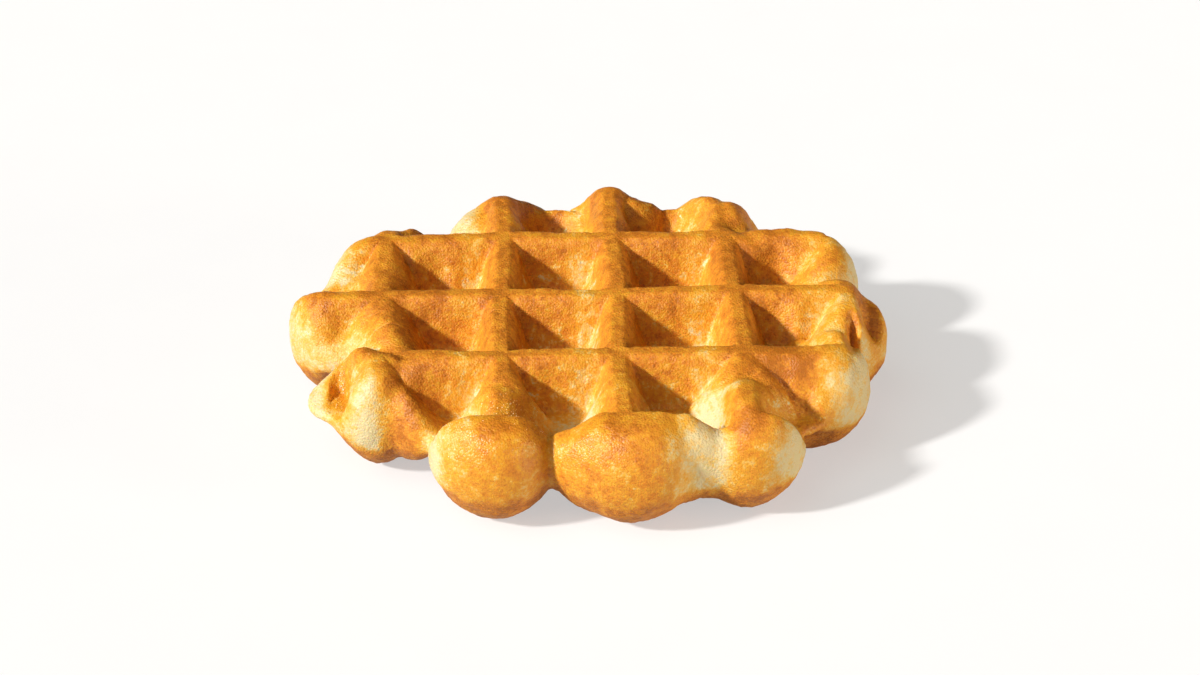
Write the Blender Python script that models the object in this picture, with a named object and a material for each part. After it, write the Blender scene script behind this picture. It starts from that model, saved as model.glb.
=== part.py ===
"""A thick oval waffle: one loaf of dough pressed between two gridded irons.

The dough filled a five by four grid of ridges on both sides, and swelled out between
the irons at its free edge in soft lobes. Metres, +Z up, standing on its lower ridges,
origin at the centre of its footprint.
"""

import math

import bmesh
import bpy
import numpy as np

MM = 0.001

# Driving sizes
PITCH = 24.0 * MM               # one pocket and one ridge of the irons
THICKNESS = 24.0 * MM           # from the lower ridge tops to the upper ones
WEB = 3.5 * MM                  # dough left between an upper and a lower pocket
RIDGE_TOP = 4.6 * MM            # flat width of a ridge
WALL_RUN = 3.7 * MM             # sideways run of a pocket wall
TOP_SOFTNESS = 0.38             # rounding of a wall's top edge, in wall runs
FOOT_SOFTNESS = 0.25            # and of its foot
FLARE_DEPTH = 12.0 * MM         # how far in from the free edge a ridge starts to widen
FLARE_TOP = 0.7                 # extra share of a ridge's top width at the free edge
FLARE_RUN = 1.5                 # extra share of a wall's run there
UPPER_ROUNDING = 8.5 * MM       # how far in the free edge is rounded above, at full thickness
LOWER_ROUNDING = 13.0 * MM      # and below, where the dough rose off its iron
THIN_ROUNDING = 2.5 * MM        # and where the dough is thinnest
PUFF_UPPER = 4.6 * MM           # height of the swollen rim above the middle plane
PUFF_LOWER = 3.6 * MM
PUFF_INSET = 5.0 * MM           # how far inside the outline the rim is highest
PUFF_WIDTH = 4.0 * MM
REAR_PUFF = 1.35                # the rim's height along the rear, as a share of that at the sides
FRONT_PUFF = 0.25               # and along the front webs
UPPER_POWER = 2.3               # 2 makes the free edge round, more makes it fuller
LOWER_POWER = 2.0
CREASE = 2.0 * MM               # softness of the creases between two lobes
RIM_SOFTNESS = 1.5 * MM         # softness of the fillet between the rim and the ridges
FILLET_POWER = 3.5              # lower makes rounder fillets where two ridges meet
CRISP_LEVEL = 0.95              # from this height share up, ridges meet in a crisp corner
RIDGE_BEND = 0.4 * MM           # how far a ridge wanders from its straight line
BEND_LENGTH = 9.5 * MM          # the length of that wandering, over a turn of one radian
BEND_STEP = 1.9                 # radians by which the next ridge's wandering runs ahead
SURFACE_WAVE = 0.35 * MM        # slow unevenness of the upper side
SURFACE_WAVE_LENGTH = 4.0 * MM
OUTLINE_WAVE = 0.45 * MM        # slow unevenness of the outline
OUTLINE_WAVE_LENGTH = 3.2 * MM
WAVE_FIELDS = ((0.7, 1.0), (2.8, 1.37), (4.9, 1.74))    # direction in radians, relative length
CREST_LENGTH = 1.4              # length of a wave's crest, as a share of the wave's own length

MIDDLE = 0.5 * THICKNESS
PUFF_PLACES = (-54.0 * MM, -44.0 * MM, 8.0 * MM, 18.0 * MM)

# Ridge centre lines in pitches: long ridges from the middle one, cross ridges from the rear one
LONG_RIDGES = (-2.0, -0.98, 0.0, 1.02, 2.0)
CROSS_RIDGES = (0.0, -1.0, -2.0)
FRONT_RIDGE = -3.0

# Where the outer ridges run out into soft dough: from, to, and the length of the run-out in mm
LONG_SPANS = {0: (-90.0, 10.0, 4.0), 4: (-51.0, 8.0, 6.0)}
CROSS_SPANS = {0: (-90.0, 49.0, 8.0), 2: (-52.5, 49.0, 6.0)}
FRONT_SPAN = (-38.0, 37.0, 3.0)

# The plain oval that the irons filled: centre and half sizes
OVAL_CENTRE = (-5.0 * MM, -25.0 * MM)
OVAL_HALF = (50.0 * MM, 43.0 * MM)
POLE = (-6.0 * MM, -27.0 * MM)  # the middle of the rings of points
LARGEST_REACH = 90.0 * MM       # no outline point lies further from the pole
HALVINGS = 32

# Lobes pushed out past the oval: x, y and radius in mm, from the rear middle crossing
LOBES = {
    "rear left": (-47.6, -2.8, 12.1),
    "rear left gap": (-37.5, 2.3, 12.0),
    "rear second ridge": (-24.6, 13.2, 11.7),
    "rear left pocket": (-12.5, 13.5, 13.5),
    "rear middle ridge": (0.5, 14.6, 12.6),
    "rear right pocket": (14.6, 11.8, 15.0),
    "rear fourth ridge": (26.8, 12.2, 8.2),
    "rear right gap": (35.0, 1.5, 11.0),
    "rear right": (40.4, -4.7, 12.1),
    "right": (43.1, -26.6, 13.3),
    "front right": (38.6, -44.5, 12.2),
    "front right web": (32.0, -50.5, 11.0),
    "front fourth ridge": (24.2, -65.0, 11.7),
    "front right pocket": (13.0, -65.6, 11.2),
    "front middle ridge": (1.7, -67.4, 14.6),
    "front middle shoulder": (-5.0, -66.9, 11.2),
    "front second ridge": (-25.0, -66.9, 12.8),
    "front left web": (-35.5, -51.5, 12.0),
    "front left": (-48.4, -50.3, 9.5),
    "front left rim": (-53.8, -46.0, 8.6),
    "left": (-53.9, -19.9, 14.4),
    "rear left rim": (-50.5, -8.0, 10.9),
}

# Swellings over the grid: x, y, flat radius and outer radius in mm, then how far the upper
# and the lower side rise from the web (0) to the ridge tops (1)
SWELLINGS = {
    "rear second ridge": (-29.0, 16.0, 1.0, 9.0, 0.72, 0.6),
    "rear middle ridge": (4.5, 21.0, 1.0, 8.0, 0.8, 0.6),
    "rear left": (-53.0, -5.0, 3.0, 12.0, 0.55, 0.4),
    "left": (-55.0, -22.0, 4.0, 14.0, 0.40, 0.3),
    "front second ridge": (-24.5, -69.0, 3.0, 15.0, 0.0, 1.0),
    "front middle ridge": (1.5, -69.0, 4.0, 17.0, 0.0, 1.0),
    "front fourth ridge": (25.0, -68.0, 3.0, 13.0, 0.0, 1.0),
    "right": (47.0, -36.0, 1.0, 7.0, 0.85, 0.3),
    "right band, rear part": (44.4, -46.5, 1.0, 7.5, 0.8, 0.3),
    "right band, front part": (41.8, -52.0, 0.5, 6.0, 0.55, 0.3),
}

# Hollows in the upper side: x, y, half width, half length and depth in mm
HOLLOWS = {
    "front rim, left pocket": (-12.0, -70.0, 9.0, 8.5, 3.8),
    "front rim, right pocket": (18.5, -71.0, 6.5, 6.5, 3.2),
    "valley at the front left": (-55.4, -50.5, 3.2, 11.0, 5.0),
    "tear": (48.0, -37.2, 1.8, 5.0, 6.5),
    "channel below the tear": (47.0, -42.5, 2.3, 6.0, 2.6),
    "recess at the right edge": (52.5, -30.0, 3.8, 12.5, 4.6),
}

# Mesh sizes
AROUND = 420
OVER = 260
RIM_CROWDING = 0.5              # share of the rings drawn towards the free edge
TRIANGLES = 11000
FLAT_TOLERANCE = 0.03 * MM

CRUST_COLOUR = (0.68, 0.33, 0.07, 1.0)
CRUST_ROUGHNESS = 0.55


def clear_scene():
    for obj in list(bpy.data.objects):
        bpy.data.objects.remove(obj, do_unlink=True)


def soft_max(a, b, softness):
    """The larger of two values, with the corner between them rounded."""
    share = np.clip(0.5 + 0.5 * (a - b) / softness, 0.0, 1.0)
    return b + (a - b) * share + softness * share * (1.0 - share)


def soft_step(t):
    """A straight ramp from 0 to 1 whose foot and top are rounded."""
    t = np.clip(t, -FOOT_SOFTNESS, 1.0 + TOP_SOFTNESS)
    foot = (t + FOOT_SOFTNESS) ** 2 / (4.0 * FOOT_SOFTNESS)
    top = 1.0 - (1.0 + TOP_SOFTNESS - t) ** 2 / (4.0 * TOP_SOFTNESS)
    return np.where(t < FOOT_SOFTNESS, foot, np.where(t > 1.0 - TOP_SOFTNESS, top, t))


def smooth_share(t):
    """0 below 0, 1 above 1, and an even S between."""
    t = np.clip(t, 0.0, 1.0)
    return t * t * (3.0 - 2.0 * t)


def quarter_round(t, power):
    """A quarter circle, or a fuller curve: 0 at the edge, 1 from one radius inwards."""
    t = np.clip(t, 0.0, 1.0)
    return np.maximum(1.0 - (1.0 - t) ** power, 0.0) ** (1.0 / power)


def slow_wave(x, y, length):
    """Uneven waves of about the given length, between -1 and 1: three crossed wave fields."""
    total = np.zeros_like(x)
    for turn, stretch in WAVE_FIELDS:
        along = x * math.cos(turn) + y * math.sin(turn)
        across = y * math.cos(turn) - x * math.sin(turn)
        wave = np.sin(along / (stretch * length) + turn)
        total += wave * np.cos(across / (CREST_LENGTH * stretch * length))
    return total / len(WAVE_FIELDS)


def edge_distance(x, y):
    """How far a plan point lies inside the outline of oval and lobes."""
    half_x, half_y = OVAL_HALF
    radial = np.hypot((x - OVAL_CENTRE[0]) / half_x, (y - OVAL_CENTRE[1]) / half_y)
    inside = (1.0 - radial) * half_y
    for lobe_x, lobe_y, radius in LOBES.values():
        from_lobe = radius * MM - np.hypot(x - lobe_x * MM, y - lobe_y * MM)
        inside = soft_max(inside, from_lobe, CREASE)
    return inside + OUTLINE_WAVE * slow_wave(x, y, OUTLINE_WAVE_LENGTH)


def bend(along, number):
    """How far a ridge lies off its straight line; each number bends in its own places."""
    return RIDGE_BEND * np.sin(along / BEND_LENGTH + BEND_STEP * number)


def ridge(offset, flare):
    """Height share of a ridge at an offset from its centre line, wider where it flares."""
    top = 0.5 * RIDGE_TOP * (1.0 + FLARE_TOP * flare)
    run = WALL_RUN * (1.0 + FLARE_RUN * flare)
    return soft_step((top + run - offset) / run)


def flare(x, y):
    """How far a ridge widens, from its centre line's distance to the free edge."""
    return 1.0 - smooth_share(edge_distance(x, y) / FLARE_DEPTH)


def within(along, span):
    """1 along a ridge's span, falling to 0 over its run-out at both ends."""
    first, last, run_out = (MM * value for value in span)
    return smooth_share((along - first) / run_out + 0.5) * smooth_share((last - along) / run_out + 0.5)


def grid_shares(x, y, upper):
    """The height share of each ridge of the grid, from the web (0) to the ridge top (1)."""
    for number, place in enumerate(LONG_RIDGES):
        centre = place * PITCH + bend(y, number)
        share = ridge(np.abs(x - centre), flare(centre, y))
        yield share * within(y, LONG_SPANS[number]) if number in LONG_SPANS else share
    for number, place in enumerate(CROSS_RIDGES):
        centre = place * PITCH + bend(x, number + len(LONG_RIDGES))
        share = ridge(np.abs(y - centre), flare(x, centre))
        yield share * within(x, CROSS_SPANS[number]) if number in CROSS_SPANS else share
    if upper:
        # The front ridge keeps its height outwards, and only the free edge rounds it off
        centre = FRONT_RIDGE * PITCH + bend(x, len(LONG_RIDGES) + len(CROSS_RIDGES))
        yield ridge(y - centre, 0.0) * within(x, FRONT_SPAN)


def swelling_shares(x, y, upper):
    """The height share of each swelling that no iron shaped."""
    for centre_x, centre_y, flat, outer, rise_upper, rise_lower in SWELLINGS.values():
        away = np.hypot(x - centre_x * MM, y - centre_y * MM)
        share = quarter_round((outer * MM - away) / ((outer - flat) * MM), 2.0)
        yield share * (rise_upper if upper else rise_lower)


def dough_level(x, y, upper):
    """Ridges and swellings in one height share, with fillets where they meet."""
    highest = np.zeros_like(x)
    total = np.zeros_like(x)
    for share in (*grid_shares(x, y, upper), *swelling_shares(x, y, upper)):
        highest = np.maximum(highest, share)
        total += share ** FILLET_POWER
    filleted = total ** (1.0 / FILLET_POWER)
    return filleted + (highest - filleted) * smooth_share(highest / CRISP_LEVEL)


def half_thickness(x, y, inside, upper):
    """Dough above, or below, the middle plane at a plan point."""
    half = 0.5 * WEB + (MIDDLE - 0.5 * WEB) * dough_level(x, y, upper)
    puff = PUFF_UPPER if upper else PUFF_LOWER
    puff = puff * np.interp(y, PUFF_PLACES, (FRONT_PUFF, 1.0, 1.0, REAR_PUFF))
    rim = puff * np.exp(-((inside - PUFF_INSET) / PUFF_WIDTH) ** 2)
    half = soft_max(half, rim, RIM_SOFTNESS)
    if upper:
        for centre_x, centre_y, half_x, half_y, depth in HOLLOWS.values():
            away = ((x - centre_x * MM) / half_x) ** 2 + ((y - centre_y * MM) / half_y) ** 2
            half = half - depth * MM * np.clip(1.0 - away / MM ** 2, 0.0, 1.0) ** 2
        wave = slow_wave(x, y, SURFACE_WAVE_LENGTH)
        half = half + SURFACE_WAVE * wave * smooth_share(half / MIDDLE)
        half = np.maximum(half, 0.5 * WEB)
    full_rounding = UPPER_ROUNDING if upper else LOWER_ROUNDING
    rounding = THIN_ROUNDING + (full_rounding - THIN_ROUNDING) * half / MIDDLE
    return half * quarter_round(inside / rounding, UPPER_POWER if upper else LOWER_POWER)


def outline_reach(angle):
    """Distance from the pole to the outline in each direction, by halving."""
    near = np.zeros_like(angle)
    far = np.full_like(angle, LARGEST_REACH)
    for _ in range(HALVINGS):
        halfway = 0.5 * (near + far)
        x = POLE[0] + halfway * np.cos(angle)
        y = POLE[1] + halfway * np.sin(angle)
        inside = edge_distance(x, y) > 0.0
        near = np.where(inside, halfway, near)
        far = np.where(inside, far, halfway)
    return near


def press_into_irons(points):
    """Carry the points of a unit ball to the surface of the waffle."""
    angle = np.arctan2(points[:, 1], points[:, 0])
    height = np.clip(points[:, 2], -1.0, 1.0)
    ring = np.arccos(np.abs(height)) / (0.5 * math.pi)
    share = (1.0 - RIM_CROWDING) * ring + RIM_CROWDING * np.sin(0.5 * math.pi * ring)
    reach = outline_reach(angle) * share
    x = POLE[0] + reach * np.cos(angle)
    y = POLE[1] + reach * np.sin(angle)
    inside = np.maximum(edge_distance(x, y), 0.0)
    above = half_thickness(x, y, inside, True)
    below = half_thickness(x, y, inside, False)
    z = MIDDLE + np.where(height >= 0.0, above, -below)
    return np.column_stack((x, y, z))


def dense_body(name):
    """A ball of dough moved point by point to the pressed form."""
    bm = bmesh.new()
    bmesh.ops.create_uvsphere(bm, u_segments=AROUND, v_segments=OVER, radius=1.0)
    mesh = bpy.data.meshes.new(name)
    bm.to_mesh(mesh)
    bm.free()
    points = np.empty(3 * len(mesh.vertices))
    mesh.vertices.foreach_get("co", points)
    pressed = press_into_irons(points.reshape(-1, 3))
    mesh.vertices.foreach_set("co", pressed.ravel())
    mesh.update()
    return mesh


def thin_out(obj, triangles):
    """Collapse the mesh to about the given number of triangles."""
    obj.data.calc_loop_triangles()
    decimate = obj.modifiers.new("thin out", "DECIMATE")
    decimate.ratio = triangles / len(obj.data.loop_triangles)
    decimate.use_collapse_triangulate = True
    depsgraph = bpy.context.evaluated_depsgraph_get()
    mesh = bpy.data.meshes.new_from_object(obj.evaluated_get(depsgraph))
    obj.modifiers.remove(decimate)
    obj.data = mesh


def stand_on_footprint(mesh):
    """Level the lower ridge tops at height 0 and put the origin below the middle."""
    points = np.empty(3 * len(mesh.vertices))
    mesh.vertices.foreach_get("co", points)
    points = points.reshape(-1, 3)
    centre = 0.5 * (points.min(axis=0) + points.max(axis=0))
    points[:, 0] -= centre[0]
    points[:, 1] -= centre[1]
    points[points[:, 2] < FLAT_TOLERANCE, 2] = 0.0
    mesh.vertices.foreach_set("co", points.ravel())
    mesh.update()


def crust_material():
    material = bpy.data.materials.new("crust")
    material.use_nodes = True
    shader = material.node_tree.nodes["Principled BSDF"]
    shader.inputs["Base Color"].default_value = CRUST_COLOUR
    shader.inputs["Roughness"].default_value = CRUST_ROUGHNESS
    shader.inputs["Metallic"].default_value = 0.0
    return material


def build_waffle():
    collection = bpy.data.collections.new("Waffle")
    bpy.context.scene.collection.children.link(collection)
    waffle = bpy.data.objects.new("waffle", dense_body("waffle"))
    collection.objects.link(waffle)
    thin_out(waffle, TRIANGLES)
    stand_on_footprint(waffle.data)
    waffle.data.shade_smooth()
    waffle.data.materials.clear()
    waffle.data.materials.append(crust_material())
    return waffle


clear_scene()
build_waffle()
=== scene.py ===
"""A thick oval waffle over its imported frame: browned crust, sugar grains, floor, light and camera."""

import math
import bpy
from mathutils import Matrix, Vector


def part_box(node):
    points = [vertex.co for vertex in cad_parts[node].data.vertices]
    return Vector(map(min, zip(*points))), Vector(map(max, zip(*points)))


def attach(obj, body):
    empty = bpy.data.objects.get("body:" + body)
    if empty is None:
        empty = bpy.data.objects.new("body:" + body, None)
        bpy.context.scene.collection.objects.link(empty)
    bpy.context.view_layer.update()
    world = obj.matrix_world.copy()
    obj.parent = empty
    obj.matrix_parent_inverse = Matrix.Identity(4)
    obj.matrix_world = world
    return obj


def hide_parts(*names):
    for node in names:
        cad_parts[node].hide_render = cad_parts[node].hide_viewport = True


bl_info = {
    "name": "Thick Waffle",
    "version": (1, 0, 0),
    "blender": (4, 5, 0),
    "location": "3D View > Sidebar > Waffle",
    "description": "Bakes a thick oval waffle in the shape of its packed frame",
    "category": "Add Mesh",
}

import bpy
import numpy as np
from mathutils import Vector
from bpy.props import FloatProperty, FloatVectorProperty, IntProperty, PointerProperty

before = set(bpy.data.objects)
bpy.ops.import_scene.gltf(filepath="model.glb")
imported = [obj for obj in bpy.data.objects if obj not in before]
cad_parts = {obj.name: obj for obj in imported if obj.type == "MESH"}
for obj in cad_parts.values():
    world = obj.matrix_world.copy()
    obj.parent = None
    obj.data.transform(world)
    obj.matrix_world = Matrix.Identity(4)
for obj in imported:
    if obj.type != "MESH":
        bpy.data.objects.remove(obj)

LOW, HIGH = (np.array(corner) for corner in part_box("waffle"))
FRAME_MIDDLE = 0.5 * (LOW + HIGH)
MM = (HIGH[0] - LOW[0]) / 124.62         # one millimetre of this waffle, from its length

# Driving sizes of the irons and the dough
PITCH = 24.0 * MM               # one pocket and one ridge of the irons
THICKNESS = 24.0 * MM           # from the lower ridge tops to the upper ones
WEB = 3.5 * MM                  # dough left between an upper and a lower pocket
RIDGE_TOP = 4.6 * MM            # flat width of a ridge
WALL_RUN = 3.7 * MM             # sideways run of a pocket wall
TOP_SOFTNESS = 0.38             # rounding of a wall's top edge, in wall runs
FOOT_SOFTNESS = 0.25            # and of its foot
FLARE_DEPTH = 12.0 * MM         # how far in from the free edge a ridge starts to widen
FLARE_TOP = 0.7                 # extra share of a ridge's top width at the free edge
FLARE_RUN = 1.5                 # extra share of a wall's run there
UPPER_ROUNDING = 8.5 * MM       # how far in the free edge is rounded above, at full thickness
LOWER_ROUNDING = 13.0 * MM      # and below, where the dough rose off its iron
THIN_ROUNDING = 2.5 * MM        # and where the dough is thinnest
PUFF_UPPER = 4.6 * MM           # height of the swollen rim above the middle plane
PUFF_LOWER = 3.6 * MM
PUFF_INSET = 5.0 * MM           # how far inside the outline the rim is highest
PUFF_WIDTH = 4.0 * MM
REAR_PUFF = 1.35                # the rim's height along the rear, as a share of that at the sides
FRONT_PUFF = 0.25               # and along the front webs
UPPER_POWER = 2.3               # 2 makes the free edge round, more makes it fuller
LOWER_POWER = 2.0
CREASE = 2.0 * MM               # softness of the creases between two lobes
RIM_SOFTNESS = 1.5 * MM         # softness of the fillet between the rim and the ridges
FILLET_POWER = 3.5              # lower makes rounder fillets where two ridges meet
CRISP_LEVEL = 0.95              # from this height share up, ridges meet in a crisp corner
RIDGE_BEND = 0.4 * MM           # how far a ridge wanders from its straight line
BEND_LENGTH = 9.5 * MM          # the length of that wandering, over a turn of one radian
BEND_STEP = 1.9                 # radians by which the next ridge's wandering runs ahead
SURFACE_WAVE = 0.35 * MM        # slow unevenness of the upper side
SURFACE_WAVE_LENGTH = 4.0 * MM
OUTLINE_WAVE = 0.45 * MM        # slow unevenness of the outline
OUTLINE_WAVE_LENGTH = 3.2 * MM
WAVE_FIELDS = ((0.7, 1.0), (2.8, 1.37), (4.9, 1.74))    # direction in radians, relative length
CREST_LENGTH = 1.4              # length of a wave's crest, as a share of the wave's own length

MIDDLE = 0.5 * THICKNESS
PUFF_PLACES = (-54.0 * MM, -44.0 * MM, 8.0 * MM, 18.0 * MM)     # front web to side, side to rear

# Ridge centre lines in pitches: long ridges from the middle one, cross ridges from the rear one
LONG_RIDGES = (-2.0, -0.98, 0.0, 1.02, 2.0)
CROSS_RIDGES = (0.0, -1.0, -2.0)
FRONT_RIDGE = -3.0

# Where the outer ridges run out into soft dough: from, to, and the length of the run-out in mm
LONG_SPANS = {0: (-90.0, 10.0, 4.0), 4: (-51.0, 8.0, 6.0)}
CROSS_SPANS = {0: (-90.0, 49.0, 8.0), 2: (-52.5, 49.0, 6.0)}
FRONT_SPAN = (-38.0, 37.0, 3.0)

# The plain oval that the irons filled: centre and half sizes
OVAL_CENTRE = (-5.0 * MM, -25.0 * MM)
OVAL_HALF = (50.0 * MM, 43.0 * MM)
POLE = (-6.0 * MM, -27.0 * MM)  # the middle of the rings of points
LARGEST_REACH = 90.0 * MM       # no outline point lies further from the pole
HALVINGS = 32                   # steps that find an outline point along its direction

# Lobes pushed out past the oval: x, y and radius in mm, from the rear middle crossing
LOBES = {
    "rear left": (-47.6, -2.8, 12.1),
    "rear left gap": (-37.5, 2.3, 12.0),
    "rear second ridge": (-24.6, 13.2, 11.7),
    "rear left pocket": (-12.5, 13.5, 13.5),
    "rear middle ridge": (0.5, 14.6, 12.6),
    "rear right pocket": (14.6, 11.8, 15.0),
    "rear fourth ridge": (26.8, 12.2, 8.2),
    "rear right gap": (35.0, 1.5, 11.0),
    "rear right": (40.4, -4.7, 12.1),
    "right": (43.1, -26.6, 13.3),
    "front right": (38.6, -44.5, 12.2),
    "front right web": (32.0, -50.5, 11.0),
    "front fourth ridge": (24.2, -65.0, 11.7),
    "front right pocket": (13.0, -65.6, 11.2),
    "front middle ridge": (1.7, -67.4, 14.6),
    "front middle shoulder": (-5.0, -66.9, 11.2),
    "front second ridge": (-25.0, -66.9, 12.8),
    "front left web": (-35.5, -51.5, 12.0),
    "front left": (-48.4, -50.3, 9.5),
    "front left rim": (-53.8, -46.0, 8.6),
    "left": (-53.9, -19.9, 14.4),
    "rear left rim": (-50.5, -8.0, 10.9),
}

# Swellings over the grid: x, y, flat radius and outer radius in mm, then how far the upper
# and the lower side rise from the web (0) to the ridge tops (1)
SWELLINGS = {
    "rear second ridge": (-29.0, 16.0, 1.0, 9.0, 0.72, 0.6),
    "rear middle ridge": (4.5, 21.0, 1.0, 8.0, 0.8, 0.6),
    "rear left": (-53.0, -5.0, 3.0, 12.0, 0.55, 0.4),
    "left": (-55.0, -22.0, 4.0, 14.0, 0.40, 0.3),
    "front second ridge": (-24.5, -69.0, 3.0, 15.0, 0.0, 1.0),
    "front middle ridge": (1.5, -69.0, 4.0, 17.0, 0.0, 1.0),
    "front fourth ridge": (25.0, -68.0, 3.0, 13.0, 0.0, 1.0),
    "right": (47.0, -36.0, 1.0, 7.0, 0.85, 0.3),
    "right band, rear part": (44.4, -46.5, 1.0, 7.5, 0.8, 0.3),
    "right band, front part": (41.8, -52.0, 0.5, 6.0, 0.55, 0.3),
}

# Hollows in the upper side: x, y, half width, half length and depth in mm
HOLLOWS = {
    "front rim, left pocket": (-12.0, -70.0, 9.0, 8.5, 3.8),
    "front rim, right pocket": (18.5, -71.0, 6.5, 6.5, 3.2),
    "valley at the front left": (-55.4, -50.5, 3.2, 11.0, 5.0),
    "tear": (48.0, -37.2, 1.8, 5.0, 6.5),
    "channel below the tear": (47.0, -42.5, 2.3, 6.0, 2.6),
    "recess at the right edge": (52.5, -30.0, 3.8, 12.5, 4.6),
}

# How the crust browned, from 0 for raw pale dough to 1 for the brownest; the lower side and some places
# also carry painted shade
EDGE_BAKING = 0.08              # the very edge, which no iron touched
WALL_BAKING = 0.55              # pocket walls and floors
TOP_BAKING = 0.74               # ridge tops
LOWER_BAKING_AND_SHADE = 0.85             # the whole lower side: browned crust, made darker still as painted shade under the waffle
FLANK_SHIFT = -0.30            # paler on the left walls of the long ridges
FLANK_REACH = 2.5               # how far beside a ridge's top that holds, in wall runs
TOP_FROM = 1.5                  # ridge tops start to brown at this height, in half thicknesses
TOP_BLEND = 0.5
SIDE_FROM = 0.4                 # named places fade in from this height
SIDE_BLEND = 0.5
TOP_COVER = 0.8                 # share of the bare places that ridge tops don't show
LOWER_BARE = 0.3                # share of the bare places that the lower side shows
UPPER_RUN = 4.5 * MM            # from the edge inwards, the upper side browns over this distance
LEFT_RUN = 1.0 * MM             # and over this much more at the left
LEFT_FROM = -1.7 * PITCH        # where the left starts
LEFT_BLEND = 0.6 * PITCH
LOWER_RUN = 1.0 * MM            # the lower side lay on its iron nearly to the edge

# Stretches of the edge that browned more or less: x, y, reach along x, reach along y in mm, the change
EDGE_PATCHES = {
    "front lobes": (-2.0, -80.0, 42.0, 16.0, 0.54),
    "rear": (6.0, 32.0, 40.0, 14.0, 0.15),
    "front left web": (-41.0, -57.0, 8.0, 7.0, 0.8),
    "front right web": (38.5, -60.0, 7.0, 5.0, 0.6),
    "low front of the right lobe": (25.0, -79.0, 9.0, 6.0, -0.5),
}
# Places of the upper side that browned more or less, in the same order; the front right pocket and the
# tear are darkened as painted shade
PATCHES = {
    "left rim of the front lobes": (-38.5, -70.0, 3.5, 9.0, -0.5),
    "rear right lobe": (49.5, -1.5, 6.0, 8.0, -0.6),
    "pale skin by the tear": (47.0, -30.5, 3.8, 9.0, -0.6),
    "left pad": (-59.0, -25.0, 6.0, 7.0, 0.15),
    "rear rim, right web": (15.0, 25.5, 7.0, 2.5, -0.45),
    "rear end of the second ridge": (-23.5, 19.0, 5.0, 6.0, 0.2),
    "rear ends of the long ridges": (0.0, 19.0, 36.0, 7.0, 0.12),
    "right band": (47.5, -49.0, 4.5, 9.0, -0.35),
    "left flank of the rear second lobe": (-33.0, 17.0, 5.0, 7.0, -0.45),
    "rear left rim": (-60.0, -3.0, 4.0, 8.0, -0.3),
    "front left tongue": (-49.3, -55.0, 2.7, 9.0, -0.55),
    "right flank of the tongue": (-41.0, -57.0, 3.5, 8.0, 0.35),
    "front left rim": (-61.0, -44.0, 3.0, 7.0, -0.4),
    "front rim, left pocket": (-11.0, -60.5, 6.0, 3.0, -0.35),
    "front rim, right pocket, left part": (5.5, -58.0, 5.0, 1.6, -0.45),
    "front rim, right pocket, middle": (15.0, -60.0, 5.0, 2.0, -0.5),
    "front rim, right pocket, right part": (22.5, -60.0, 2.5, 2.5, -0.4),
    # Painted shade: the front right pocket is darkened here.
    "front right pocket": (32.0, -51.0, 6.0, 7.0, 0.45),
    "between the front lobes": (14.0, -74.0, 9.0, 7.0, -0.5),
    "right front lobe, outer side": (34.0, -72.0, 4.0, 8.0, -0.3),
    "brown spot on the right front lobe": (23.9, -75.0, 4.5, 5.0, 0.6),
    "left end of the front cross ridge": (-48.6, -46.0, 5.0, 3.0, 0.3),
    "left end of the middle cross ridge": (-49.5, -22.0, 5.0, 4.0, 0.15),
    "right end of the middle cross ridge": (51.7, -25.0, 4.0, 3.0, 0.3),
    "valley at the front left": (-55.4, -50.0, 2.5, 9.0, 0.25),
    "recess at the right edge": (53.0, -31.0, 3.0, 8.0, 0.45),
    # Painted shade: the inside of the tear is darkened here.
    "tear": (48.0, -37.5, 1.4, 4.0, 1.2),
    "rear right pockets": (30.0, -10.0, 20.0, 12.0, 0.18),
    "left pockets": (-36.0, -30.0, 14.0, 16.0, 0.16),
    "front pockets": (0.0, -60.0, 36.0, 9.0, -0.12),
}
# Moist amber places that took the syrup of the melted sugar, in the same order
MOIST = {
    "front second ridge lobe": (-25.0, -72.0, 10.0, 9.0, 1.0),
    "valley at the front left": (-55.6, -48.0, 3.0, 10.0, 0.9),
    "left pad": (-58.0, -22.0, 5.0, 8.0, 0.6),
    "rear left lobe": (-54.0, -2.0, 4.0, 7.0, 0.7),
    "middle front lobe": (-6.0, -74.0, 7.0, 8.0, 0.7),
}
# Places with sugar grains, in the same order
SUGARED = {
    "top of the front second ridge lobe": (-25.5, -67.5, 9.0, 4.0, 1.0),
    "left side of the front second ridge lobe": (-33.0, -70.0, 3.0, 5.0, 0.5),
    "valley at the front left": (-56.0, -48.0, 3.0, 8.0, 0.35),
}

DRY_ROUGHNESS = 0.50
MOIST_ROUGHNESS = 0.30

# Uneven baking: the size and detail of each kind, and how far it shifts the browning
MOTTLE = {"Blotch": (5.0 * MM, 3.0), "Fleck": (1.9 * MM, 3.0), "Streak": (1.1 * MM, 2.0)}
MOTTLE_ROUGHNESS = 0.6
MOTTLE_RANGE = (0.37, 0.63)     # noise values that are mapped to -1 and 1
STREAK_SQUEEZE = 0.22           # heights count this much for streaks, so that they run upright
PEBBLE_SIZE = 0.45 * MM
BARE_SIZE = 6.0 * MM
BARE_DETAIL = 4.0
BARE_ROUGHNESS = 0.75
BARE_RANGE = (0.56, 0.66)       # noise values where bare places begin and are full
DOUGH_RANGE = (0.1, 0.6)        # between these levels of browning the mottle grows to its full
DOUGH_MOTTLE = 0.45             # and below them it has this share
BLOTCH_SHIFT = 0.13
FLECK_SHIFT = 0.20
STREAK_SHIFT = 0.12
SPECKLE_SHIFT = 0.17
BARE_SHIFT = -0.42

AROUND = 1000                   # points of the dense body in each ring
RINGS = 230                     # rings on each side, from the pole to the outline
RIM_CROWDING = 0.5              # share of the rings drawn towards the free edge

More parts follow.
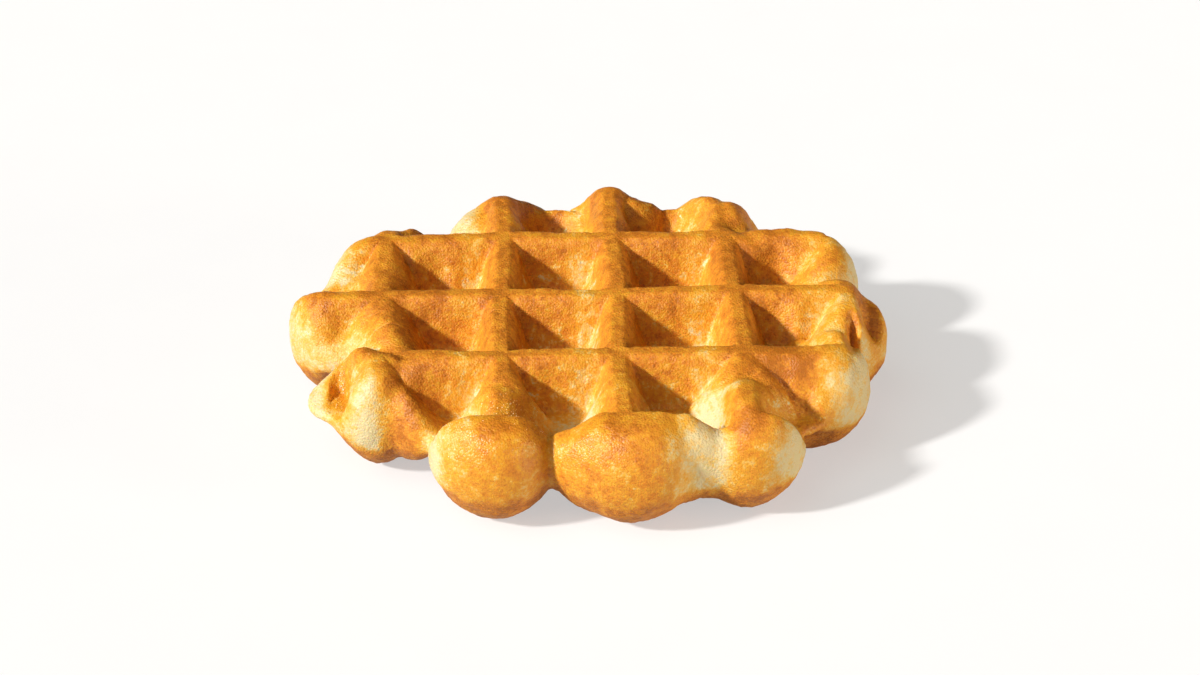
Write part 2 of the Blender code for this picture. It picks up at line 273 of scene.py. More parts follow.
BOARD_SIDE = 5.0                # metres
ROOM_WHITE = 1.6                # brightness of the room as the camera sees it
CAMERA_LENS = 81.0              # millimetres, over a sensor of 36
CAMERA_SENSOR = 36.0
CAMERA_TILT = 59.0              # degrees from straight down
CAMERA_TURN = -1.54             # degrees; below 0 the camera turns to the right
CAMERA_PLACE = (-0.016211, -0.506660, 0.302840)     # from the rear middle crossing, in metres
ROOM_FILL = 0.05                # brightness of the room round the board, for the shadows
BOARD_GLOW = 0.50               # light that comes through the white board, as the camera sees it
GLOW_ON_WAFFLE = 0.12           # and as it lights the waffle


def soft_max(a, b, softness):
    """The larger of two values, with the corner between them rounded."""
    share = np.clip(0.5 + 0.5 * (a - b) / softness, 0.0, 1.0)
    return b + (a - b) * share + softness * share * (1.0 - share)


def soft_step(t):
    """A straight ramp from 0 to 1 whose foot and top are rounded."""
    t = np.clip(t, -FOOT_SOFTNESS, 1.0 + TOP_SOFTNESS)
    foot = (t + FOOT_SOFTNESS) ** 2 / (4.0 * FOOT_SOFTNESS)
    top = 1.0 - (1.0 + TOP_SOFTNESS - t) ** 2 / (4.0 * TOP_SOFTNESS)
    return np.where(t < FOOT_SOFTNESS, foot, np.where(t > 1.0 - TOP_SOFTNESS, top, t))


def smooth_share(t):
    """0 below 0, 1 above 1, and an even S between."""
    t = np.clip(t, 0.0, 1.0)
    return t * t * (3.0 - 2.0 * t)


def quarter_round(t, power):
    """A quarter circle, or a fuller curve: 0 at the edge, 1 from one radius inwards."""
    t = np.clip(t, 0.0, 1.0)
    return np.maximum(1.0 - (1.0 - t) ** power, 0.0) ** (1.0 / power)


def slow_wave(x, y, length):
    """Uneven waves of about the given length, between -1 and 1: three crossed wave fields."""
    total = np.zeros_like(x)
    for turn, stretch in WAVE_FIELDS:
        along = x * math.cos(turn) + y * math.sin(turn)
        across = y * math.cos(turn) - x * math.sin(turn)
        wave = np.sin(along / (stretch * length) + turn)
        total += wave * np.cos(across / (CREST_LENGTH * stretch * length))
    return total / len(WAVE_FIELDS)


def edge_distance(x, y):
    """How far a plan point lies inside the outline of oval and lobes."""
    half_x, half_y = OVAL_HALF
    radial = np.hypot((x - OVAL_CENTRE[0]) / half_x, (y - OVAL_CENTRE[1]) / half_y)
    inside = (1.0 - radial) * half_y
    for lobe_x, lobe_y, radius in LOBES.values():
        from_lobe = radius * MM - np.hypot(x - lobe_x * MM, y - lobe_y * MM)
        inside = soft_max(inside, from_lobe, CREASE)
    return inside + OUTLINE_WAVE * slow_wave(x, y, OUTLINE_WAVE_LENGTH)


def bend(along, number):
    """How far a ridge lies off its straight line; each number bends in its own places."""
    return RIDGE_BEND * np.sin(along / BEND_LENGTH + BEND_STEP * number)


def ridge(offset, flare):
    """Height share of a ridge at an offset from its centre line, wider where it flares."""
    top = 0.5 * RIDGE_TOP * (1.0 + FLARE_TOP * flare)
    run = WALL_RUN * (1.0 + FLARE_RUN * flare)
    return soft_step((top + run - offset) / run)


def flare(x, y):
    """How far a ridge widens, from its centre line's distance to the free edge."""
    return 1.0 - smooth_share(edge_distance(x, y) / FLARE_DEPTH)


def within(along, span):
    """1 along a ridge's span, falling to 0 over its run-out at both ends."""
    first, last, run_out = (MM * value for value in span)
    return smooth_share((along - first) / run_out + 0.5) * smooth_share((last - along) / run_out + 0.5)


def grid_shares(x, y, upper):
    """The height share of each ridge of the grid, from the web (0) to the ridge top (1)."""
    for number, place in enumerate(LONG_RIDGES):
        centre = place * PITCH + bend(y, number)
        share = ridge(np.abs(x - centre), flare(centre, y))
        yield share * within(y, LONG_SPANS[number]) if number in LONG_SPANS else share
    for number, place in enumerate(CROSS_RIDGES):
        centre = place * PITCH + bend(x, number + len(LONG_RIDGES))
        share = ridge(np.abs(y - centre), flare(x, centre))
        yield share * within(x, CROSS_SPANS[number]) if number in CROSS_SPANS else share
    if upper:
        # The front ridge keeps its height outwards, and only the free edge rounds it off
        centre = FRONT_RIDGE * PITCH + bend(x, len(LONG_RIDGES) + len(CROSS_RIDGES))
        yield ridge(y - centre, 0.0) * within(x, FRONT_SPAN)


def swelling_shares(x, y, upper):
    """The height share of each swelling that no iron shaped."""
    for centre_x, centre_y, flat, outer, rise_upper, rise_lower in SWELLINGS.values():
        away = np.hypot(x - centre_x * MM, y - centre_y * MM)
        share = quarter_round((outer * MM - away) / ((outer - flat) * MM), 2.0)
        yield share * (rise_upper if upper else rise_lower)


def dough_level(x, y, upper):
    """Ridges and swellings in one height share, with fillets where they meet."""
    highest = np.zeros_like(x)
    total = np.zeros_like(x)
    for share in (*grid_shares(x, y, upper), *swelling_shares(x, y, upper)):
        highest = np.maximum(highest, share)
        total += share ** FILLET_POWER
    filleted = total ** (1.0 / FILLET_POWER)
    return filleted + (highest - filleted) * smooth_share(highest / CRISP_LEVEL)


def half_thickness(x, y, inside, upper):
    """Dough above, or below, the middle plane at a plan point."""
    half = 0.5 * WEB + (MIDDLE - 0.5 * WEB) * dough_level(x, y, upper)
    puff = PUFF_UPPER if upper else PUFF_LOWER
    puff = puff * np.interp(y, PUFF_PLACES, (FRONT_PUFF, 1.0, 1.0, REAR_PUFF))
    rim = puff * np.exp(-((inside - PUFF_INSET) / PUFF_WIDTH) ** 2)
    half = soft_max(half, rim, RIM_SOFTNESS)
    if upper:
        for centre_x, centre_y, half_x, half_y, depth in HOLLOWS.values():
            away = ((x - centre_x * MM) / half_x) ** 2 + ((y - centre_y * MM) / half_y) ** 2
            half = half - depth * MM * np.clip(1.0 - away / MM ** 2, 0.0, 1.0) ** 2
        wave = slow_wave(x, y, SURFACE_WAVE_LENGTH)
        half = half + SURFACE_WAVE * wave * smooth_share(half / MIDDLE)
        half = np.maximum(half, 0.5 * WEB)
    full_rounding = UPPER_ROUNDING if upper else LOWER_ROUNDING
    rounding = THIN_ROUNDING + (full_rounding - THIN_ROUNDING) * half / MIDDLE
    return half * quarter_round(inside / rounding, UPPER_POWER if upper else LOWER_POWER)


def outline_reach(angle):
    """Distance from the pole to the outline in each direction, by halving."""
    near = np.zeros_like(angle)
    far = np.full_like(angle, LARGEST_REACH)
    for _ in range(HALVINGS):
        halfway = 0.5 * (near + far)
        x = POLE[0] + halfway * np.cos(angle)
        y = POLE[1] + halfway * np.sin(angle)
        inside = edge_distance(x, y) > 0.0
        near = np.where(inside, halfway, near)
        far = np.where(inside, far, halfway)
    return near


def outline_points():
    """The outline round the waffle: direction from the pole, reach, and plan places."""
    angle = np.linspace(0.0, math.tau, AROUND, endpoint=False)
    reach = outline_reach(angle)
    return angle, reach, POLE[0] + reach * np.cos(angle), POLE[1] + reach * np.sin(angle)


def frame_shift():
    """How far the grid of the irons lies off the frame, whose middle is the outline's."""
    x, y = outline_points()[2:]
    middle = np.array((0.5 * (x.min() + x.max()), 0.5 * (y.min() + y.max()), 0.0))
    return middle - FRAME_MIDDLE * (1.0, 1.0, 0.0)


def read_points(mesh):
    points = np.empty(3 * len(mesh.vertices))
    mesh.vertices.foreach_get("co", points)
    return points.reshape(-1, 3)


def write_points(mesh, points):
    mesh.vertices.foreach_set("co", points.ravel())
    mesh.update()


def set_attribute(mesh, name, values):
    """A number on each point, which the sugar and the materials read by its name."""
    attribute = mesh.attributes.new(name, "FLOAT", "POINT")
    attribute.data.foreach_set("value", values.astype(np.float32))


def pressed_side(share, angle, reach, upper):
    """Points of one side of the waffle, ring by ring from the pole outwards."""
    x = POLE[0] + np.outer(share, reach * np.cos(angle)).ravel()
    y = POLE[1] + np.outer(share, reach * np.sin(angle)).ravel()
    inside = np.maximum(edge_distance(x, y), 0.0)
    half = half_thickness(x, y, inside, upper)
    return np.column_stack((x, y, MIDDLE + (half if upper else -half)))


def ring_faces(first, second):
    """Four-cornered faces between two rings of points, given by their first points."""
    around = np.arange(AROUND)
    following = (around + 1) % AROUND
    return np.column_stack((first + around, second + around,
                            second + following, first + following))


def cap_faces(pole, ring, turned):
    """Three-cornered faces from a pole to the ring round it."""
    around = np.arange(AROUND)
    following = (around + 1) % AROUND
    pair = (following, around) if turned else (around, following)
    return np.column_stack((np.full(AROUND, pole), ring + pair[0], ring + pair[1]))


def dense_body():
    """The pressed dough as rings of points, moved to the frame's place."""
    angle, reach = outline_points()[:2]
    ring = np.linspace(0.0, 1.0, RINGS + 1)
    share = (1.0 - RIM_CROWDING) * ring + RIM_CROWDING * np.sin(0.5 * math.pi * ring)
    upper = pressed_side(share, angle, reach, True)[AROUND - 1:]
    lower = pressed_side(share[:-1], angle, reach, False)[AROUND - 1:]
    points = np.vstack((upper, lower))
    starts = [1 + AROUND * number for number in range(RINGS)]
    lower_pole = len(upper)
    starts += [lower_pole + 1 + AROUND * number for number in reversed(range(RINGS - 1))]
    quads = np.vstack([ring_faces(*pair) for pair in zip(starts, starts[1:])])
    caps = np.vstack((cap_faces(0, starts[0], False), cap_faces(lower_pole, starts[-1], True)))
    mesh = bpy.data.meshes.new("crust")
    mesh.from_pydata(points - frame_shift(), [], quads.tolist() + caps.tolist())
    return mesh


def patch_total(patches, x, y):
    total = np.zeros_like(x)
    for centre_x, centre_y, reach_x, reach_y, amount in patches.values():
        away_x = (x - centre_x * MM) / (reach_x * MM)
        away_y = (y - centre_y * MM) / (reach_y * MM)
        total += amount * np.exp(-away_x ** 2 - away_y ** 2)
    return total


def left_flanks(x, y):
    """1 on the left walls of the long ridges, 0 elsewhere."""
    total = np.zeros_like(x)
    for number, place in enumerate(LONG_RIDGES):
        beside = (place * PITCH + bend(y, number) - 0.5 * RIDGE_TOP - x) / WALL_RUN
        total += smooth_share(beside) * smooth_share(FLANK_REACH - beside)
    return total


def crust_marks(points):
    """How baked, wall-like, bare, moist and sugared the crust is at each point, all 0 to 1; the baked
    level carries painted shade in places too.
    """
    x, y, z = (points + frame_shift()).T
    inside = np.maximum(edge_distance(x, y), 0.0)
    upper = z > MIDDLE
    top = smooth_share((z / MIDDLE - TOP_FROM) / TOP_BLEND)
    above = WALL_BAKING + (TOP_BAKING - WALL_BAKING) * top + FLANK_SHIFT * left_flanks(x, y)
    pressed = np.where(upper, above, LOWER_BAKING_AND_SHADE)
    upper_run = UPPER_RUN + LEFT_RUN * smooth_share((LEFT_FROM - x) / LEFT_BLEND)
    contact = smooth_share(inside / np.where(upper, upper_run, LOWER_RUN))
    edge = EDGE_BAKING + patch_total(EDGE_PATCHES, x, y)
    near_upper = smooth_share((z / MIDDLE - SIDE_FROM) / SIDE_BLEND)
    baked_and_shaded = edge + (pressed - edge) * contact + near_upper * patch_total(PATCHES, x, y)
    return {
        "baked_and_shaded": np.clip(baked_and_shaded, 0.0, 1.0),
        "wall": np.where(upper, (1.0 - top) * smooth_share(inside / UPPER_RUN - 1.0), 0.0),
        "bare": np.where(upper, contact * (1.0 - TOP_COVER * top), LOWER_BARE),
        "moist": np.clip(near_upper * patch_total(MOIST, x, y), 0.0, 1.0),
        "sugared": np.where(upper, np.clip(patch_total(SUGARED, x, y), 0.0, 1.0), 0.0),
    }


def add_node(tree, kind, inputs=None, **settings):
    """A node with its settings, and its inputs set to values or linked from other sockets."""
    made = tree.nodes.new(kind)
    for name, value in settings.items():
        setattr(made, name, value)
    for key, value in (inputs or {}).items():
        if isinstance(value, bpy.types.NodeSocket):
            tree.links.new(value, made.inputs[key])
        else:
            made.inputs[key].default_value = value
    return made


def calculate(tree, operation, a, b):
    return add_node(tree, "ShaderNodeMath", {0: a, 1: b}, operation=operation).outputs[0]


def vector_math(tree, operation, inputs):
    return add_node(tree, "ShaderNodeVectorMath", inputs, operation=operation).outputs[0]


def new_socket(tree, name, direction, kind, default=None):
    socket = tree.interface.new_socket(name, in_out=direction, socket_type="NodeSocket" + kind)
    if default is not None:
        socket.default_value = default
    return socket


def modifier_input(tree, name):
    """The identifier by which a modifier's input is set."""
    for item in tree.interface.items_tree:
        if item.item_type == "SOCKET" and item.in_out == "INPUT" and item.name == name:
            return item.identifier
    raise KeyError(name)


def apply_nodes(obj, tree, values):
    """Run a Geometry Nodes tree on an object and keep the result as its plain mesh."""
    modifier = obj.modifiers.new(tree.name, "NODES")
    modifier.node_group = tree
    for name, value in values.items():
        modifier[modifier_input(tree, name)] = value
    keep_evaluated(obj)


def keep_evaluated(obj):
    depsgraph = bpy.context.evaluated_depsgraph_get()
    depsgraph.update()
    mesh = bpy.data.meshes.new_from_object(obj.evaluated_get(depsgraph))
    obj.modifiers.clear()
    obj.data = mesh


def relief_tree(material):
    """Blisters and grain: moves the crust along its normals by two sizes of noise."""
    tree = bpy.data.node_groups.new("crust relief", "GeometryNodeTree")
    new_socket(tree, "Geometry", "INPUT", "Geometry")
    new_socket(tree, "Blister Height", "INPUT", "Float", 0.42 * MM)
    new_socket(tree, "Blister Size", "INPUT", "Float", 4.2 * MM)
    new_socket(tree, "Grain Height", "INPUT", "Float", 0.18 * MM)
    new_socket(tree, "Grain Size", "INPUT", "Float", 1.3 * MM)
    new_socket(tree, "Seed", "INPUT", "Float", 3.0)
    new_socket(tree, "Geometry", "OUTPUT", "Geometry")
    given = add_node(tree, "NodeGroupInput").outputs
    place = add_node(tree, "GeometryNodeInputPosition").outputs[0]
    heights = []
    for size, height, detail in (("Blister Size", "Blister Height", 2.0),
                                 ("Grain Size", "Grain Height", 1.0)):
        scale = calculate(tree, "DIVIDE", 1.0, given[size])
        noise = add_node(tree, "ShaderNodeTexNoise",
                         {"Vector": place, "W": given["Seed"], "Scale": scale, "Detail": detail},
                         noise_dimensions="4D").outputs[0]
        level = calculate(tree, "SUBTRACT", noise, 0.5)
        heights.append(calculate(tree, "MULTIPLY", calculate(tree, "MULTIPLY", level, 2.0),
                                 given[height]))
    rise = calculate(tree, "ADD", heights[0], heights[1])
    normal = add_node(tree, "GeometryNodeInputNormal").outputs[0]
    offset = vector_math(tree, "SCALE", {0: normal, "Scale": rise})
    moved = add_node(tree, "GeometryNodeSetPosition",
                     {"Geometry": given["Geometry"], "Offset": offset}).outputs[0]
    real = add_node(tree, "GeometryNodeRealizeInstances", {"Geometry": moved}).outputs[0]
    dressed = add_node(tree, "GeometryNodeSetMaterial",
                       {"Geometry": real, "Material": material}).outputs[0]
    add_node(tree, "NodeGroupOutput", {"Geometry": dressed})
    return tree


def sugar_tree(material):
    """Sugar grains strewn over the sugared places, each a small rounded crystal."""
    tree = bpy.data.node_groups.new("sugar grains", "GeometryNodeTree")
    new_socket(tree, "Geometry", "INPUT", "Geometry")
    new_socket(tree, "Grains Per Square Metre", "INPUT", "Float", 1.4e6)
    new_socket(tree, "Grain Size", "INPUT", "Float", 0.26 * MM)
    new_socket(tree, "Seed", "INPUT", "Int", 11)
    new_socket(tree, "Geometry", "OUTPUT", "Geometry")
    given = add_node(tree, "NodeGroupInput").outputs
    share = add_node(tree, "GeometryNodeInputNamedAttribute", {"Name": "sugared"},
                     data_type="FLOAT").outputs["Attribute"]
    strewn = add_node(tree, "GeometryNodeDistributePointsOnFaces",
                      {"Mesh": given["Geometry"],
                       "Density": calculate(tree, "MULTIPLY", share,
                                            given["Grains Per Square Metre"]),
                       "Seed": given["Seed"]}, distribute_method="RANDOM")
    size = given["Grain Size"]
    crystal = add_node(tree, "GeometryNodeMeshIcoSphere",
                       {"Radius": calculate(tree, "MULTIPLY", size, 0.5), "Subdivisions": 1})
    turn = add_node(tree, "FunctionNodeRandomValue",
                    {0: (0.0, 0.0, 0.0), 1: (math.tau,) * 3, "Seed": given["Seed"]},
                    data_type="FLOAT_VECTOR").outputs[0]
    stretch = add_node(tree, "FunctionNodeRandomValue",
                       {0: (0.5, 0.5, 0.4), 1: (1.3, 1.1, 0.9), "Seed": given["Seed"]},
                       data_type="FLOAT_VECTOR").outputs[0]
    placed = add_node(tree, "GeometryNodeInstanceOnPoints",
                      {"Points": strewn.outputs["Points"], "Instance": crystal.outputs["Mesh"],
                       "Rotation": turn, "Scale": stretch}).outputs[0]
    real = add_node(tree, "GeometryNodeRealizeInstances", {"Geometry": placed}).outputs[0]
    dressed = add_node(tree, "GeometryNodeSetMaterial",
                       {"Geometry": real, "Material": material}).outputs[0]
    add_node(tree, "NodeGroupOutput", {"Geometry": dressed})
    return tree


def noise_value(tree, vector, size, detail, roughness=0.5, seed=0.0):
    """Cloudy noise, its features of about the given size in metres."""
    return add_node(tree, "ShaderNodeTexNoise",
                    {"Vector": vector, "Scale": 1.0 / size, "Detail": detail,
                     "Roughness": roughness, "W": seed}, noise_dimensions="4D").outputs[0]


def map_range(tree, value, source, target=(0.0, 1.0), shape="SMOOTHSTEP"):
    """Map a value from one range to another, and hold it there beyond the ends."""
    return add_node(tree, "ShaderNodeMapRange",
                    {"Value": value, "From Min": source[0], "From Max": source[1],
                     "To Min": target[0], "To Max": target[1]},
                    interpolation_type=shape).outputs[0]


def grain_cells(tree, vector, size):
    """Sandy crust: the height of its small pebbles, and a shade for each, -1 to 1."""
    cells = add_node(tree, "ShaderNodeTexVoronoi", {"Vector": vector, "Scale": 1.0 / size},
                     feature="F1")
    height = calculate(tree, "SUBTRACT", 1.0, cells.outputs["Distance"])
    shade = add_node(tree, "ShaderNodeSeparateColor", {0: cells.outputs["Color"]}).outputs[0]
    return height, map_range(tree, shade, (0.0, 1.0), (-1.0, 1.0), "LINEAR")


def mottle_group():
    """Uneven baking, -1 to 1, with bare places from 0 to 1 and the height of the grain."""
    tree = bpy.data.node_groups.new("baking mottle", "ShaderNodeTree")
    new_socket(tree, "Vector", "INPUT", "Vector")
    new_socket(tree, "Seed", "INPUT", "Float", 0.0)
    for name in (*MOTTLE, "Speckle", "Bare", "Pebble"):
        new_socket(tree, name, "OUTPUT", "Float")
    given = add_node(tree, "NodeGroupInput").outputs
    upright = vector_math(tree, "MULTIPLY", {0: given["Vector"], 1: (1.0, 1.0, STREAK_SQUEEZE)})
    outputs = {}
    for name, (size, detail) in MOTTLE.items():
        place = upright if name == "Streak" else given["Vector"]
        value = noise_value(tree, place, size, detail, MOTTLE_ROUGHNESS, given["Seed"])
        outputs[name] = map_range(tree, value, MOTTLE_RANGE, (-1.0, 1.0), "LINEAR")
    outputs["Pebble"], outputs["Speckle"] = grain_cells(tree, given["Vector"], PEBBLE_SIZE)
    clusters = noise_value(tree, given["Vector"], BARE_SIZE, BARE_DETAIL, BARE_ROUGHNESS,
                           given["Seed"])
    outputs["Bare"] = map_range(tree, clusters, BARE_RANGE)
    add_node(tree, "NodeGroupOutput", outputs)
    return tree


def colour_ramp(tree, value, stops):
    """Blend through named colours, given as (place, linear colour) pairs."""
    made = add_node(tree, "ShaderNodeValToRGB", {"Fac": value})
    ramp = made.color_ramp
    while len(ramp.elements) > 1:
        ramp.elements.remove(ramp.elements[-1])
    ramp.elements[0].position = stops[0][0]
    ramp.elements[0].color = (*stops[0][1], 1.0)
    for place, colour in stops[1:]:
        ramp.elements.new(place).color = (*colour, 1.0)
    return made.outputs[0]


def crust_material(settings):
    """From pale dough at the free edge, through moist gold, to brown speckled ridge tops."""
    material = bpy.data.materials.new("crust")
    material.use_nodes = True
    tree = material.node_tree
    shader = tree.nodes["Principled BSDF"]
    place = add_node(tree, "ShaderNodeTexCoord").outputs["Object"]
    marks = {name: add_node(tree, "ShaderNodeAttribute", attribute_name=name).outputs["Fac"]
             for name in ("baked_and_shaded", "wall", "bare", "moist")}
    mottle = add_node(tree, "ShaderNodeGroup", {"Vector": place, "Seed": 1.0},
                      node_tree=mottle_group()).outputs
    touched = map_range(tree, marks["baked_and_shaded"], DOUGH_RANGE, (DOUGH_MOTTLE, 1.0))
    shifts = {
        "Blotch": (touched, BLOTCH_SHIFT),
        "Fleck": (touched, FLECK_SHIFT),
        "Streak": (marks["wall"], STREAK_SHIFT),
        "Speckle": (touched, SPECKLE_SHIFT),
        "Bare": (marks["bare"], BARE_SHIFT),
    }
    # The browning level also carries painted shade: the front right pocket, the tear and the lower side
    # are darker for it.
    level = marks["baked_and_shaded"]
    for name, (share, shift) in shifts.items():
        amount = calculate(tree, "MULTIPLY", share, shift)
        level = calculate(tree, "ADD", level, calculate(tree, "MULTIPLY", mottle[name], amount))
    colour = colour_ramp(tree, level, (
        (0.00, tuple(settings.dough_colour)),
        (0.14, (0.74, 0.47, 0.13)),
        (0.34, tuple(settings.gold_colour)),
        (0.56, (0.67, 0.268, 0.020)),
        (0.76, (0.62, 0.215, 0.016)),
        (1.00, tuple(settings.brown_colour)),
    ))
    tree.links.new(colour, shader.inputs["Base Color"])
    rough = map_range(tree, marks["moist"], (0.0, 1.0), (DRY_ROUGHNESS, MOIST_ROUGHNESS))
    tree.links.new(rough, shader.inputs["Roughness"])
    bump = add_node(tree, "ShaderNodeBump",
                    {"Height": mottle["Pebble"], "Strength": 0.8, "Distance": settings.pore_depth})
    tree.links.new(bump.outputs[0], shader.inputs["Normal"])
    shader.inputs["Specular IOR Level"].default_value = 0.35
    shader.inputs["Subsurface Weight"].default_value = 0.20
    shader.inputs["Subsurface Radius"].default_value = (1.0, 0.45, 0.12)
    shader.inputs["Subsurface Scale"].default_value = 2.5 * MM
    return material


def sugar_material():
    """Sugar with a wet gloss, pale in places and amber in others."""
    material = bpy.data.materials.new("sugar")
    material.use_nodes = True
    tree = material.node_tree
    shader = tree.nodes["Principled BSDF"]
    place = add_node(tree, "ShaderNodeTexCoord").outputs["Object"]
    tint = noise_value(tree, place, 1.5 * MM, 1.0)
    colour = colour_ramp(tree, tint, ((0.35, (0.95, 0.62, 0.18)), (0.65, (1.0, 0.88, 0.60))))
    tree.links.new(colour, shader.inputs["Base Color"])
    shader.inputs["Roughness"].default_value = 0.15
    shader.inputs["Specular IOR Level"].default_value = 0.7
    return material


def floor_material():
    """Matte pale board with a hardly visible grain, lit a little from below."""
    material = bpy.data.materials.new("pale floor")
    material.use_nodes = True
    tree = material.node_tree
    shader = tree.nodes["Principled BSDF"]
    place = add_node(tree, "ShaderNodeTexCoord").outputs["Object"]
    grain = noise_value(tree, place, 0.02, 2.0)
    colour = colour_ramp(tree, grain, ((0.0, (0.44, 0.44, 0.44)), (1.0, (0.46, 0.46, 0.46))))
    tree.links.new(colour, shader.inputs["Base Color"])
    shader.inputs["Emission Color"].default_value = (1.0, 1.0, 1.0, 1.0)
    seen = add_node(tree, "ShaderNodeLightPath").outputs["Is Camera Ray"]
    glow = map_range(tree, seen, (0.0, 1.0), (GLOW_ON_WAFFLE, BOARD_GLOW), "LINEAR")
    tree.links.new(glow, shader.inputs["Emission Strength"])
    shader.inputs["Roughness"].default_value = 0.9
    shader.inputs["Specular IOR Level"].default_value = 0.1
    return material


def add_object(name, data):
    obj = bpy.data.objects.new(name, data)
    bpy.context.scene.collection.objects.link(obj)
    return obj


def thin_out(obj, triangles):
    """Collapse the mesh to about the given number of triangles."""
    obj.data.calc_loop_triangles()
    decimate = obj.modifiers.new("thin out", "DECIMATE")
    decimate.ratio = triangles / len(obj.data.loop_triangles)
    keep_evaluated(obj)


class WaffleSettings(bpy.types.PropertyGroup):
    blister_height: FloatProperty(
        name="Blister height", description="Height of the soft blisters of the crust",
        default=0.42 * MM, min=0.0, unit="LENGTH")
    grain_height: FloatProperty(
        name="Grain height", description="Height of the fine unevenness of the crust",
        default=0.18 * MM, min=0.0, unit="LENGTH")
    pore_depth: FloatProperty(
        name="Pore depth", description="Depth of the finest pores",
        default=0.17 * MM, min=0.0, unit="LENGTH")
    sugar_size: FloatProperty(
        name="Sugar size", description="Size of one sugar grain",
        default=0.26 * MM, min=0.0, unit="LENGTH")
    triangles: IntProperty(
        name="Triangles", description="Triangles kept in the crust", default=190000, min=20000)
    dough_colour: FloatVectorProperty(
        name="Dough colour", description="Pale dough that no iron touched",
        default=(0.70, 0.57, 0.30), subtype="COLOR", size=3)
    gold_colour: FloatVectorProperty(
        name="Gold colour", description="Moist golden crust between the edge and the ridges",
        default=(0.73, 0.335, 0.020), subtype="COLOR", size=3)
    brown_colour: FloatVectorProperty(
        name="Brown colour", description="The brownest crust on the ridge tops",
        default=(0.45, 0.14, 0.010), subtype="COLOR", size=3)


class WAFFLE_OT_crust(bpy.types.Operator):
    """Press the dough into its irons and brown its crust"""
    bl_idname = "waffle.crust"
    bl_label = "Bake the Crust"

    def execute(self, context):
        settings = context.scene.waffle_settings
        crust = add_object("crust", dense_body())
        apply_nodes(crust, relief_tree(crust_material(settings)), {
            "Blister Height": settings.blister_height,
            "Blister Size": 4.2 * MM,
            "Grain Height": settings.grain_height,
            "Grain Size": 1.3 * MM,
            "Seed": 3.0,
        })
        thin_out(crust, settings.triangles)
        points = read_points(crust.data)
        points[:, 2] = np.clip(points[:, 2], LOW[2], HIGH[2])
        write_points(crust.data, points)
        for name, values in crust_marks(points).items():
            set_attribute(crust.data, name, values)
        crust.data.shade_smooth()
        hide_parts("waffle")
        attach(crust, "root")
        return {"FINISHED"}


class WAFFLE_OT_sugar(bpy.types.Operator):
    """Strew fine sugar over the sugared places"""
    bl_idname = "waffle.sugar"
    bl_label = "Strew the Sugar"

    def execute(self, context):
        settings = context.scene.waffle_settings
        crust = context.scene.objects["crust"]
        grains = add_object("sugar_grains", crust.data.copy())
        apply_nodes(grains, sugar_tree(sugar_material()), {
            "Grains Per Square Metre": 1.4e6,
            "Grain Size": settings.sugar_size,
            "Seed": 11,
        })
        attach(grains, "root")
        return {"FINISHED"}


class WAFFLE_OT_stage(bpy.types.Operator):
    """Set the white board, the light from the left and the camera"""
    bl_idname = "waffle.stage"
    bl_label = "Set the Stage"

    def execute(self, context):
        add_floor()
        add_light()
        add_room()
        add_camera()
        return {"FINISHED"}


class WAFFLE_PT_panel(bpy.types.Panel):
    bl_label = "Waffle"
    bl_space_type = "VIEW_3D"
    bl_region_type = "UI"
    bl_category = "Waffle"

    def draw(self, context):
        settings = context.scene.waffle_settings
        for name in settings.bl_rna.properties.keys():
            if name not in ("rna_type", "name"):
                self.layout.prop(settings, name)
        for operator in (WAFFLE_OT_crust, WAFFLE_OT_sugar, WAFFLE_OT_stage):
            self.layout.operator(operator.bl_idname)


CLASSES = (WaffleSettings, WAFFLE_OT_crust, WAFFLE_OT_sugar, WAFFLE_OT_stage, WAFFLE_PT_panel)


def add_floor():
    mesh = bpy.data.meshes.new("floor")
    half = 0.5 * BOARD_SIDE
    corners = [(-half, -half, 0.0), (half, -half, 0.0), (half, half, 0.0), (-half, half, 0.0)]
    mesh.from_pydata(corners, [], [(0, 1, 2, 3)])
    mesh.materials.append(floor_material())
    add_object("floor", mesh)


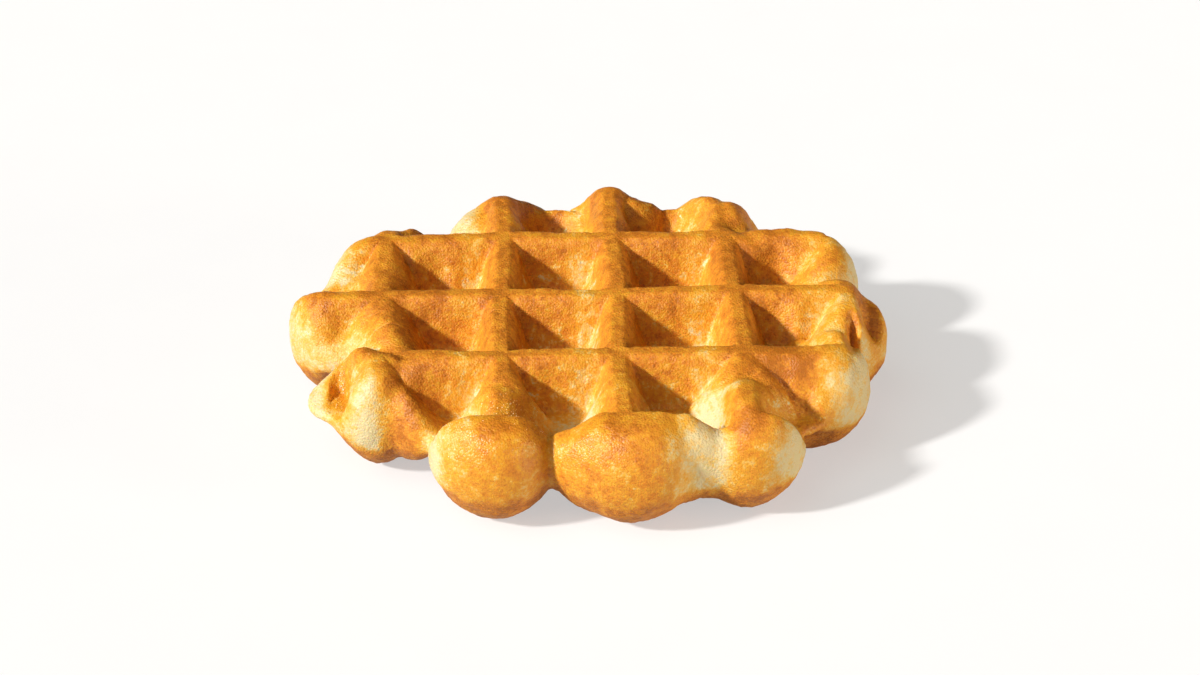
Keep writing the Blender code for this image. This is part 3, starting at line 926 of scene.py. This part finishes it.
def add_sun(name, energy, angle, towards, colour=(1.0, 0.98, 0.95)):
    lamp = bpy.data.lights.new(name, "SUN")
    lamp.energy = energy
    lamp.angle = math.radians(angle)
    lamp.color = colour
    sun = add_object(name, lamp)
    sun.rotation_euler = Vector(towards).to_track_quat("Z", "Y").to_euler()


def add_light():
    """Key light from the left with a soft one round it, weak fill, and low warm light at the right."""
    add_sun("key", 4.7, 5.0, (-0.72, -0.35, 0.5))
    add_sun("soft key", 0.9, 60.0, (-0.6, -0.35, 0.8))
    add_sun("fill", 0.25, 90.0, (0.6, -0.7, 0.4), (1.0, 0.82, 0.6))
    add_sun("glow of the board at the right", 2.3, 15.0, (0.9, -0.3, 0.05), (1.0, 0.86, 0.66))


def add_room():
    """A white room whose walls fill the shadows a little."""
    world = bpy.data.worlds.new("white room")
    world.use_nodes = True
    tree = world.node_tree
    background = tree.nodes["Background"]
    seen = add_node(tree, "ShaderNodeLightPath").outputs["Is Camera Ray"]
    strength = calculate(tree, "ADD", calculate(tree, "MULTIPLY", seen, ROOM_WHITE), ROOM_FILL)
    tree.links.new(strength, background.inputs["Strength"])
    background.inputs["Color"].default_value = (1.0, 0.80, 0.6, 1.0)
    bpy.context.scene.world = world
    bpy.context.scene.view_settings.view_transform = "Standard"


def add_camera():
    """The photograph's view: 31 degrees above the board, a little to the left of the middle."""
    data = bpy.data.cameras.new("camera")
    data.lens = CAMERA_LENS
    data.sensor_width = CAMERA_SENSOR
    camera = add_object("camera", data)
    camera.location = Vector(CAMERA_PLACE) - Vector(frame_shift())
    camera.rotation_euler = (math.radians(CAMERA_TILT), 0.0, math.radians(CAMERA_TURN))
    bpy.context.scene.camera = camera


def register():
    for cls in CLASSES:
        bpy.utils.register_class(cls)
    bpy.types.Scene.waffle_settings = PointerProperty(type=WaffleSettings)


def unregister():
    del bpy.types.Scene.waffle_settings
    for cls in reversed(CLASSES):
        bpy.utils.unregister_class(cls)


def main():
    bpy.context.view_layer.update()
    register()
    bpy.ops.waffle.crust()
    bpy.ops.waffle.sugar()
    bpy.ops.waffle.stage()


if __name__ == "__main__":
    main()
